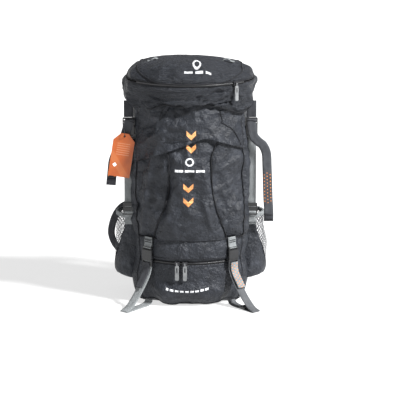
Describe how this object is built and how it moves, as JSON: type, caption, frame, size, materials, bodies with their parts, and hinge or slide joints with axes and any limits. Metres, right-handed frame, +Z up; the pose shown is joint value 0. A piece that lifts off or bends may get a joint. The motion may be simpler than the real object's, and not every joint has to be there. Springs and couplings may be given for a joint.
{
  "type": "hiking backpack",
  "caption": "Top-loading trekking backpack with lid, zipped lower compartment, mesh side pockets, compression straps, hang tag and padded harness.",
  "frame": {"origin": "on the flat base that the bag stands on, below the middle of its width", "axes": "+Z up, +Y towards the wearer's back, +X to the right seen from the front"},
  "size_m": [0.4429, 0.3488, 0.6469],
  "materials": {
    "ripstop_black": "matt ripstop nylon",
    "air_mesh_black": "air mesh over foam",
    "mesh_grey": "open stretch mesh",
    "webbing_grey": "flat woven webbing",
    "webbing_dark": "flat woven webbing",
    "piping_black": "covered piping",
    "cord_black": "braided cord",
    "zip_black": "coil zip and tape",
    "pull_grey": "moulded cord pull",
    "slider_metal": "black painted slider",
    "buckle_black": "moulded acetal",
    "frame_plastic": "plain sheet",
    "stay_aluminium": "mill finish",
    "tag_card": "printed card"
  },
  "bodies": {
    "pack": {"base_panel": "ripstop_black", "back_panel": "ripstop_black", "compartment_divider": "ripstop_black", "lower_front_panel": "ripstop_black", "lower_hood": "ripstop_black", "front_panel": "ripstop_black", "front_pocket": "ripstop_black", "seam_piping": "piping_black", "storm_flap": "ripstop_black", "lower_zip": "zip_black", "storm_collar": "ripstop_black", "drawcord": "cord_black", "cord_lock_body": "buckle_black", "frame_sheet": "frame_plastic", "frame_stays": "stay_aluminium", "back_pads": "air_mesh_black", "lumbar_pad": "air_mesh_black", "pocket_bindings": "webbing_grey", "lower_webbing": "webbing_dark", "haul_loop": "webbing_dark", "sewn_tabs": "webbing_grey", "side_webbing": "webbing_grey", "strap_adjusters": "buckle_black", "strap_tails": "webbing_dark", "buckle_females": "buckle_black", "lid_buckle_males": "buckle_black", "tag_loop": "cord_black", "left_side_panel": "ripstop_black", "left_front_side_panel": "ripstop_black", "left_mesh_pocket": "mesh_grey", "left_front_webbing": "webbing_grey", "right_side_panel": "ripstop_black", "right_front_side_panel": "ripstop_black", "right_mesh_pocket": "mesh_grey", "right_front_webbing": "webbing_grey"},
    "lid": {"lid_gusset": "ripstop_black", "lid_lining": "ripstop_black", "lid_crown": "ripstop_black", "lid_webbing": "webbing_grey", "lid_zip": "zip_black"},
    "lid_zip_slider": {"lid_zip_slider": "slider_metal"},
    "lid_zip_pull": {"lid_zip_pull": "pull_grey"},
    "lower_zip_slider_left": {"lower_zip_slider_left": "slider_metal"},
    "lower_zip_slider_right": {"lower_zip_slider_right": "slider_metal"},
    "lower_zip_pull_left": {"lower_zip_pull_left": "pull_grey"},
    "lower_zip_pull_right": {"lower_zip_pull_right": "pull_grey"},
    "left_front_buckle": {"left_front_buckle_male": "buckle_black"},
    "right_front_buckle": {"right_front_buckle_male": "buckle_black"},
    "cord_lock_button": {"cord_lock_button": "buckle_black"},
    "left_shoulder_strap": {"left_shoulder_pad": "air_mesh_black", "left_shoulder_ladder_lock": "buckle_black", "left_sternum_strap": "webbing_dark"},
    "right_shoulder_strap": {"right_shoulder_pad": "air_mesh_black", "right_shoulder_ladder_lock": "buckle_black", "right_sternum_strap": "webbing_dark"},
    "left_hip_belt": {"left_hip_wing": "air_mesh_black", "hip_buckle_female": "buckle_black"},
    "right_hip_belt": {"right_hip_wing": "air_mesh_black", "hip_buckle_male": "buckle_black"},
    "hang_tag": {"hang_tag": "tag_card"}
  },
  "joints": [
    {"name": "lid_hinge", "type": "hinge", "parent": "pack", "child": "lid", "pos_m": [0, 0.106, 0.558], "axis": [-1, 0, 0], "range_deg": [0, 100]},
    {"name": "lid_zip_travel", "type": "hinge", "parent": "lid", "child": "lid_zip_slider", "pos_m": [0, 0.06872, 0.602], "axis": [0, 0, 1], "range_deg": [-72, 2]},
    {"name": "lid_pull_swing", "type": "hinge", "parent": "lid_zip_slider", "child": "lid_zip_pull", "pos_m": [0.12154, -0.09856, 0.602], "axis": [-0.809, -0.5878, 0], "range_deg": [-4, 100]},
    {"name": "lower_zip_left_travel", "type": "hinge", "parent": "pack", "child": "lower_zip_slider_left", "pos_m": [0, 0.0492, 0.122], "axis": [0, 0, 1], "range_deg": [-19.5, 0]},
    {"name": "lower_zip_right_travel", "type": "hinge", "parent": "pack", "child": "lower_zip_slider_right", "pos_m": [0, 0.0492, 0.122], "axis": [0, 0, 1], "range_deg": [0, 35.5]},
    {"name": "lower_pull_left_swing", "type": "hinge", "parent": "lower_zip_slider_left", "child": "lower_zip_pull_left", "pos_m": [-0.03494, -0.12253, 0.122], "axis": [-0.9799, 0.1994, 0], "range_deg": [-4, 100]},
    {"name": "lower_pull_right_swing", "type": "hinge", "parent": "lower_zip_slider_right", "child": "lower_zip_pull_right", "pos_m": [-0.01375, -0.12551, 0.122], "axis": [-0.9969, 0.0785, 0], "range_deg": [-4, 100]},
    {"name": "left_front_buckle_release", "type": "slide", "parent": "pack", "child": "left_front_buckle", "axis": [0, 0, -1], "range_m": [0, 0.02], "deforming": ["left_front_webbing"]},
    {"name": "right_front_buckle_release", "type": "slide", "parent": "pack", "child": "right_front_buckle", "axis": [0, 0, -1], "range_m": [0, 0.02], "deforming": ["right_front_webbing"]},
    {"name": "cord_lock_press", "type": "slide", "parent": "pack", "child": "cord_lock_button", "axis": [0, 0, 1], "range_m": [0, 0.003], "stiffness_N_per_m": 300},
    {"name": "left_shoulder_swing", "type": "hinge", "parent": "pack", "child": "left_shoulder_strap", "pos_m": [-0.082, 0.1053, 0.508], "axis": [1, 0, 0], "range_deg": [0, 30]},
    {"name": "right_shoulder_swing", "type": "hinge", "parent": "pack", "child": "right_shoulder_strap", "pos_m": [0.082, 0.1053, 0.508], "axis": [1, 0, 0], "range_deg": [0, 30]},
    {"name": "left_hip_wing_swing", "type": "hinge", "parent": "pack", "child": "left_hip_belt", "pos_m": [-0.14, 0.1253, 0.14], "axis": [0, 0, 1], "range_deg": [0, 95]},
    {"name": "right_hip_wing_swing", "type": "hinge", "parent": "pack", "child": "right_hip_belt", "pos_m": [0.14, 0.1253, 0.14], "axis": [0, 0, -1], "range_deg": [0, 95]},
    {"name": "hang_tag_swing", "type": "hinge", "parent": "pack", "child": "hang_tag", "pos_m": [-0.172, -0.058, 0.452], "axis": [-1, 0, 0], "range_deg": [-3, 50]}
  ]
}
